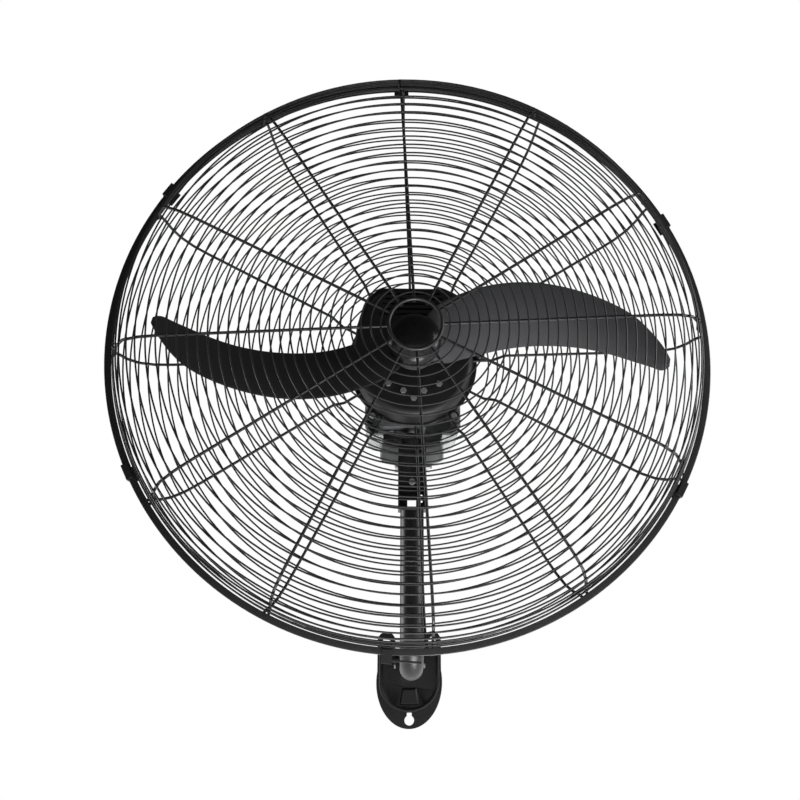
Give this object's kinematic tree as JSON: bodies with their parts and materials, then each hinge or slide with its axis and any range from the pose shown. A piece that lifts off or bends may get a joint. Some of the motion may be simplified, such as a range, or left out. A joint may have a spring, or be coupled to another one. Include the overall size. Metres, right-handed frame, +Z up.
{
  "type": "wall mounted fan",
  "caption": "Wall fan on a bent tube arm: a round wire cage with a curved propeller, its motor behind, tilting on a neck and swinging side to side.",
  "frame": {"origin": "in the wall plate's back face, on the axis of the arm's horizontal stub", "axes": "+Y into the wall, square to the wall plate's back face; -Y is the way the fan blows; +Z up"},
  "size_m": [0.9999, 0.5414, 1.1476],
  "materials": {
    "black_wire": "satin black powder coat on steel wire and strip",
    "black_steel": "satin black powder coat on steel",
    "black_casting": "matt black paint on a cast cover",
    "motor_casting": "plain cast aluminium",
    "blade_plastic": "dark grey plastic with a faint sheen",
    "cap_plastic": "polished black plastic",
    "cover_plastic": "light grey plastic",
    "knob_plastic": "black plastic",
    "zinc": "bright zinc plate",
    "steel": "ground steel",
    "bronze": "plain bronze",
    "core_steel": "dark stacked steel sheets",
    "copper": "enamelled copper wire",
    "rubber": "soft black rubber"
  },
  "bodies": {
    "wall_arm": {"wall_plate": "black_steel", "arm_socket": "black_steel", "socket_screws": "zinc", "arm_tube": "black_steel", "neck_channel": "black_steel", "tilt_bolt": "zinc", "tilt_nut": "zinc"},
    "neck": {"neck_block": "black_casting", "neck_bush": "bronze", "thrust_washer": "bronze", "tilt_lock_screw": "zinc"},
    "head": {"pivot_stud": "steel", "gearbox_housing": "motor_casting", "gearbox_lid": "motor_casting", "lid_screws": "zinc", "shaft_bush": "bronze", "motor_can": "motor_casting", "rear_shield": "motor_casting", "stator_core": "core_steel", "stator_winding": "copper", "front_bearing": "steel", "rear_bearing": "steel", "motor_front_cover": "black_casting", "front_cover_screws": "zinc", "rear_cover": "cover_plastic", "lead_grommet": "rubber", "run_capacitor": "knob_plastic", "guard_ring": "black_wire", "guard_screws": "zinc", "guard_hoop": "black_wire", "hoop_clips": "black_wire", "edge_wires": "black_wire", "front_spokes": "black_wire", "front_face_rings": "black_wire", "front_side_rings": "black_wire", "front_centre_ring": "black_wire", "rear_spokes": "black_wire", "rear_face_rings": "black_wire", "rear_side_rings": "black_wire", "latch_bracket": "black_wire"},
    "latch": {"latch_lever": "black_wire"},
    "crank": {"crank": "steel"},
    "worm_wheel": {"worm_wheel": "bronze"},
    "clutch": {"clutch_knob": "knob_plastic"},
    "propeller": {"motor_shaft": "steel", "rotor_core": "core_steel", "worm": "steel", "hub_insert": "steel", "propeller": "blade_plastic", "spinner_cap": "cap_plastic"}
  },
  "joints": [
    {"name": "tilt", "type": "hinge", "parent": "wall_arm", "child": "neck", "pos_m": [0, -0.265, 0.351], "axis": [1, 0, 0], "range_deg": [-10, 10]},
    {"name": "oscillate", "type": "hinge", "parent": "neck", "child": "head", "pos_m": [0, -0.265, 0.411], "axis": [0, 0, 1], "range_deg": [-38, 38]},
    {"name": "crank_turn", "type": "hinge", "parent": "head", "child": "crank", "pos_m": [-0.038, -0.265, 0.414], "axis": [0, 0, 1], "range_deg": [-110, 110]},
    {"name": "fan_spin", "type": "hinge", "parent": "head", "child": "propeller", "pos_m": [0, -0.445, 0.525], "axis": [0, -1, 0], "continuous": true},
    {"name": "wheel_turn", "type": "hinge", "parent": "head", "child": "worm_wheel", "pos_m": [-0.038, -0.265, 0.525], "axis": [0, 0, 1], "continuous": true},
    {"name": "clutch_slide", "type": "slide", "parent": "head", "child": "clutch", "axis": [0, 0, 1], "range_m": [-0.006, 0]},
    {"name": "latch_open", "type": "hinge", "parent": "head", "child": "latch", "pos_m": [-0.04244, -0.445, 0.01956], "axis": [0, 1, 0], "range_deg": [0, 100]}
  ],
  "couplings": [
    {"joint": "crank_turn", "follows": "oscillate", "ratio": -2.87},
    {"joint": "wheel_turn", "follows": "fan_spin", "ratio": 0.025}
  ]
}
